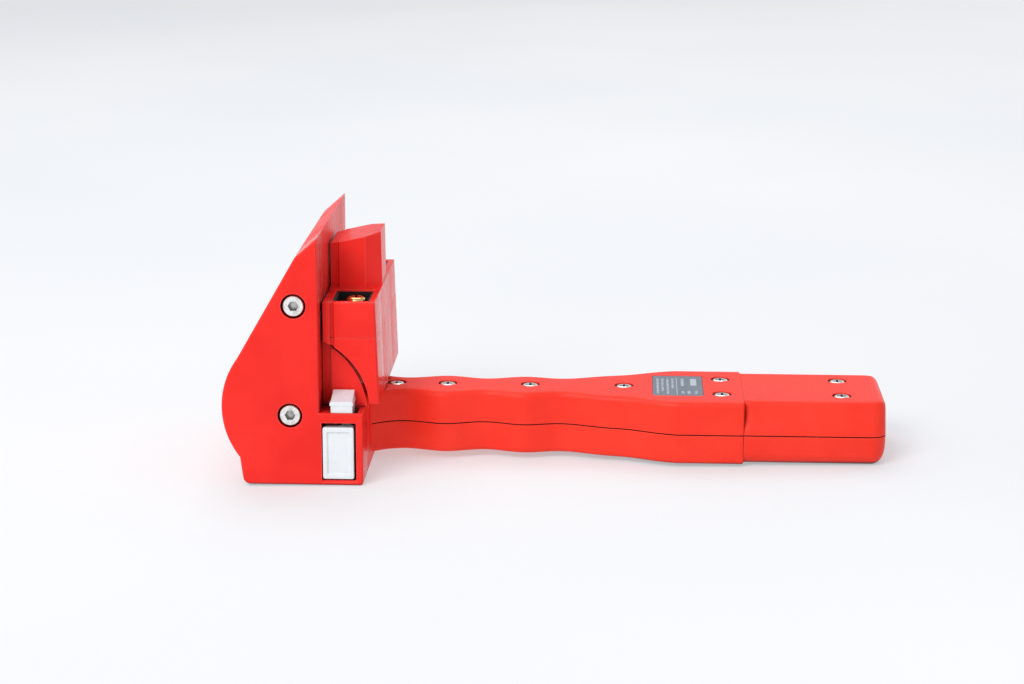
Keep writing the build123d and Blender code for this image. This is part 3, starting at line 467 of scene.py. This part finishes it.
def wave_curve():
    """Half width of the grip at a station: natural cubic spline through the finger waves."""
    x = np.array([p[0] for p in WAVES])
    y = np.array([p[1] for p in WAVES])
    n = len(x)
    h = np.diff(x)
    a = np.zeros((n, n))
    b = np.zeros(n)
    a[0, 0] = a[-1, -1] = 1
    for i in range(1, n - 1):
        a[i, i - 1], a[i, i], a[i, i + 1] = h[i - 1], 2 * (h[i - 1] + h[i]), h[i]
        b[i] = 6 * ((y[i + 1] - y[i]) / h[i] - (y[i] - y[i - 1]) / h[i - 1])
    m = np.linalg.solve(a, b)

    def at(v):
        if v >= x[-1]:
            return WIDE
        i = min(int(np.searchsorted(x, v, side="right")) - 1, n - 2)
        t, s = x[i + 1] - v, v - x[i]
        return float((m[i] * t ** 3 + m[i + 1] * s ** 3) / (6 * h[i])
                     + (y[i] / h[i] - m[i] * h[i] / 6) * t
                     + (y[i + 1] / h[i] - m[i + 1] * h[i] / 6) * s)
    return at


grip_half = wave_curve()


def half_profile(half, top_half, top, base, corner, crown):
    """Points (y, z) of one side of the upper shell, from the seam round to the middle of the top."""
    points = [(half - SEAM_ROUND, base), (half - 0.05, base + 0.06), (half, base + SEAM_ROUND)]
    k = crown / max(top_half, 1.0) ** 2
    edge = top_half - corner
    for _ in range(4):           # settles where the crowned top meets the round corner
        slope = math.atan(2 * k * edge)
        edge = top_half - corner + corner * math.sin(slope)
    centre_y = top_half - corner
    centre_z = top - k * edge ** 2 - corner * math.cos(slope)
    lean = math.atan2(half - top_half, centre_z - base)
    for i in range(1, 5):
        t = i / 5
        points.append((half + (top_half + corner * (math.cos(lean) - 1) - half) * t,
                       base + SEAM_ROUND + (centre_z + corner * math.sin(lean) - base - SEAM_ROUND) * t))
    for i in range(11):
        a = lean + (math.pi / 2 - slope - lean) * i / 10
        points.append((centre_y + corner * math.cos(a), centre_z + corner * math.sin(a)))
    for i in range(1, 9):
        y = edge * (1 - i / 8)
        points.append((y, top - k * y * y))
    return points


def ring_at(x, side):
    """Whole ring from the profile of one side, near side first."""
    near = [(x, -y, z) for y, z in side]
    far = [(x, y, z) for y, z in reversed(side[:-1])]
    return near + far


def flipped(side):
    """The profile of the lower shell, mirrored below the seam."""
    return [(y, 2 * SPLIT - z) for y, z in side]


def end_inset(x, radius, end):
    """How far a round corner that finishes at the end has come in at x."""
    over = max(0.0, x - (end - radius))
    return radius - math.sqrt(max(0.0, radius ** 2 - over ** 2))


def blend(a, b, t):
    """Smooth step from a to b as t goes from 0 to 1."""
    t = min(1.0, max(0.0, t))
    t = t * t * (3 - 2 * t)
    return a + (b - a) * t


def handle_rings(upper):
    """Rings of one shell from the foot to the end of the butt."""
    rings = []
    seam = SPLIT + SEAM
    under = 2 * SPLIT - BASE     # the lower shell's base, mirrored over the seam
    rim = [STEP - STEP_ROUND + STEP_ROUND * math.sin(math.radians(a)) for a in range(0, 91, 18)]
    for x in [float(i) for i in range(int(STEP) - 1)] + rim:
        inset = end_inset(x, STEP_ROUND, STEP)
        half = grip_half(x) - inset
        if upper:
            corner = blend(2.4, 2.2, (x - 80) / 20)
            crown = blend(0.15, 0.0, (x - 70) / 20)
            side = half_profile(half, half - 0.25, TOP - inset * 0.2, seam, corner, crown)
        else:
            side = flipped(half_profile(half, half - 0.3, under - inset * 0.2, seam, 1.8, 0.0))
        rings.append(ring_at(x, side))
    arc = [END - BUTT_ROUND + BUTT_ROUND * math.sin(math.radians(a)) for a in range(0, 91, 6)]
    for x in [STEP + 0.4 * i for i in range(10)] + [STEP + 4 * i for i in range(1, 11)] + arc:
        inset = end_inset(x, BUTT_ROUND, END)
        half = BUTT_HALF - inset
        if upper:
            drop = end_inset(x, BUTT_TOP_ROUND, END)
            side = half_profile(half, BUTT_TOP_HALF - inset, TOP - drop, seam, 2.0, 0.0)
            scoop = SCOOP_DEPTH * max(0.0, 1 - (x - STEP) / SCOOP_LENGTH) ** 2
            side = [(y - scoop * math.sin(math.pi * (z - SPLIT) / (TOP - SPLIT))
                     if y > SCOOP_FROM else y, z) for y, z in side]
        else:
            rise = end_inset(x, BUTT_BASE_ROUND, END)
            side = flipped(half_profile(half, half - 0.5, under - rise, seam, 4.4, 0.0))
        rings.append(ring_at(x, side))
    return rings


def cavity(upper):
    """Hollow of one shell, less the screw posts."""
    if upper:
        low, high = SPLIT - 1, TOP - WALL
    else:
        low, high = BASE + LOWER_WALL, SPLIT + 1
    rings = []
    for x in [WALL + 2 * i for i in range(60)] + [STEP - 0.5, END - WALL]:
        half = (grip_half(x) if x < STEP - 1 else BUTT_TOP_HALF) - WALL
        rings.append([(x, -half, low), (x, half, low), (x, half, high), (x, -half, high)])
    hollow = loft("hollow", rings)
    if upper:
        posts = [(x, 0, SPLIT + CLEAR, TOP) for x in GRIP_SCREWS[1:]]
        posts.append((GRIP_SCREWS[0], 0, SPINE_TOP + CLEAR, TOP))
        posts += [(x, y, PACK_POST_FOOT, TOP) for x, y in PACK_SCREWS]
    else:
        posts = [(x, 0, BASE, SPLIT - CLEAR) for x in GRIP_SCREWS[1:]]
    for x, y, foot, head in posts:
        cut(hollow, lathe("post", (x, y), ((POST_R, foot), (POST_R, head)), 32))
    return hollow


def handle_shell(name, upper):
    """One shell of the handle with its hollow and openings: screw seats and label, or charge socket."""
    shell = loft(name, handle_rings(upper))
    cut(shell, cavity(upper))
    if upper:
        lip = ((HEAD_R, TOP - 0.22), (HEAD_R + 0.15, TOP - 0.06), (HEAD_R + 0.4, TOP + 0.12))
        bore = ((SCREW_R, SPLIT - 2), (SCREW_R, SEAT), (HEAD_R, SEAT), *lip, (HEAD_R + 0.4, TOP + 1))
        for spot in [(x, 0) for x in GRIP_SCREWS] + PACK_SCREWS:
            cut(shell, lathe("cutter", spot, bore, 64))
        x_range = (PLATE_LOW.x / MM - X0 - FIT, PLATE_HIGH.x / MM - X0 + FIT)
        y_range = (PLATE_LOW.y / MM - FIT, PLATE_HIGH.y / MM + FIT)
        recess = [rounded_rectangle(x_range, y_range, PLATE_CORNER, z)
                  for z in (PLATE_LOW.z / MM, TOP + 1)]
        cut(shell, loft("cutter", recess))
    else:
        pilot = ((PILOT_R, BASE + 2.4), (PILOT_R, SPLIT + 1))
        for x in GRIP_SCREWS[1:]:
            cut(shell, lathe("cutter", (x, 0), pilot, 32))
        socket_low, socket_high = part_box("charge_socket")
        half = socket_high.y / MM + FIT
        outline = rounded_rectangle((socket_low.z / MM - FIT, socket_high.z / MM + FIT), (-half, half),
                                    SOCKET_CORNER, 0)
        opening = [[(x, y, z) for z, y, _ in outline] for x in (END - WALL - 2, END + 1)]
        cut(shell, loft("cutter", opening))
    spine_low, spine_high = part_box("spine")
    half = spine_high.y / MM + SPINE_FIT
    low, high = spine_low.z / MM - SPINE_FIT, spine_high.z / MM + SPINE_FIT
    slot = [[(x, -half, low), (x, half, low), (x, half, high), (x, -half, high)]
            for x in (-1, WALL + 1)]
    cut(shell, loft("cutter", slot))
    shade(shell, 32)
    return shell


dress(handle_shell("grip_upper_shell", True), "body", "red_handle", "handle_top_shell")
dress(handle_shell("grip_lower_shell", False), "body", "red_handle", "handle_bottom_shell")

# ---- head and jaw with rounded edges; the other nodes are shown as they are ----------------------
for node, body, width in (("near_cheek", "body", 0.32), ("far_cheek", "body", 0.32),
                          ("head_core", "body", 0.5), ("throat_block", "body", 0.2),
                          ("jaw_block", "jaw", 0.3), ("near_low_block", "jaw", 0.25),
                          ("far_low_block", "jaw", 0.25)):
    dress(softened(node, width), body, "red_printed", node, material=special_reds.get(node))

# ---- stage and light -----------------------------------------------------------------------------
# the floor touches the foot's right edge and the butt, so it is tilted by about a degree
BUTT_REST = 4.0                  # mm from the butt's end to where it touches
FLOOR_HALF = 4.0                 # m
FLOOR_BACK = 1.5                 # m, how far behind the part its middle is
rest_tilt = math.atan2(BASE, END - BUTT_REST)
floor_grid = bmesh.new()
bmesh.ops.create_grid(floor_grid, x_segments=40, y_segments=40, size=FLOOR_HALF)
floor = from_bmesh("floor", floor_grid)
floor.matrix_world = (Matrix.Translation((X0 * MM, 0, 0)) @ Matrix.Rotation(-rest_tilt, 4, "Y")
                      @ Matrix.Translation((0, FLOOR_BACK, 0)))
floor.data.materials.append(fabric_finish())

world = bpy.data.worlds.new("world")
bpy.context.scene.world = world
world.use_nodes = True
sky = world.node_tree.nodes["Background"]
sky.inputs["Color"].default_value = rgba(0.92, 0.94, 1.0)
sky.inputs["Strength"].default_value = 0.60


def area_light(name, place, target, size, power):
    """Soft square lamp aimed at a point."""
    lamp = bpy.data.lights.new(name, "AREA")
    lamp.shape = "SQUARE"
    lamp.size = size
    lamp.energy = power
    thing = new_object(name, lamp)
    thing.location = place
    thing.rotation_mode = "QUATERNION"
    thing.rotation_quaternion = (Vector(target) - Vector(place)).to_track_quat("-Z", "Y")


area_light("key", (-0.65, -1.05, 1.1), (0, 0, 0.03), 0.8, 16)
area_light("back", (-0.2, 0.7, 1.25), (0, 0, 0), 1.0, 8)
area_light("right", (0.9, 1.5, 0.35), (0, 0, 0.05), 1.1, 2.8)
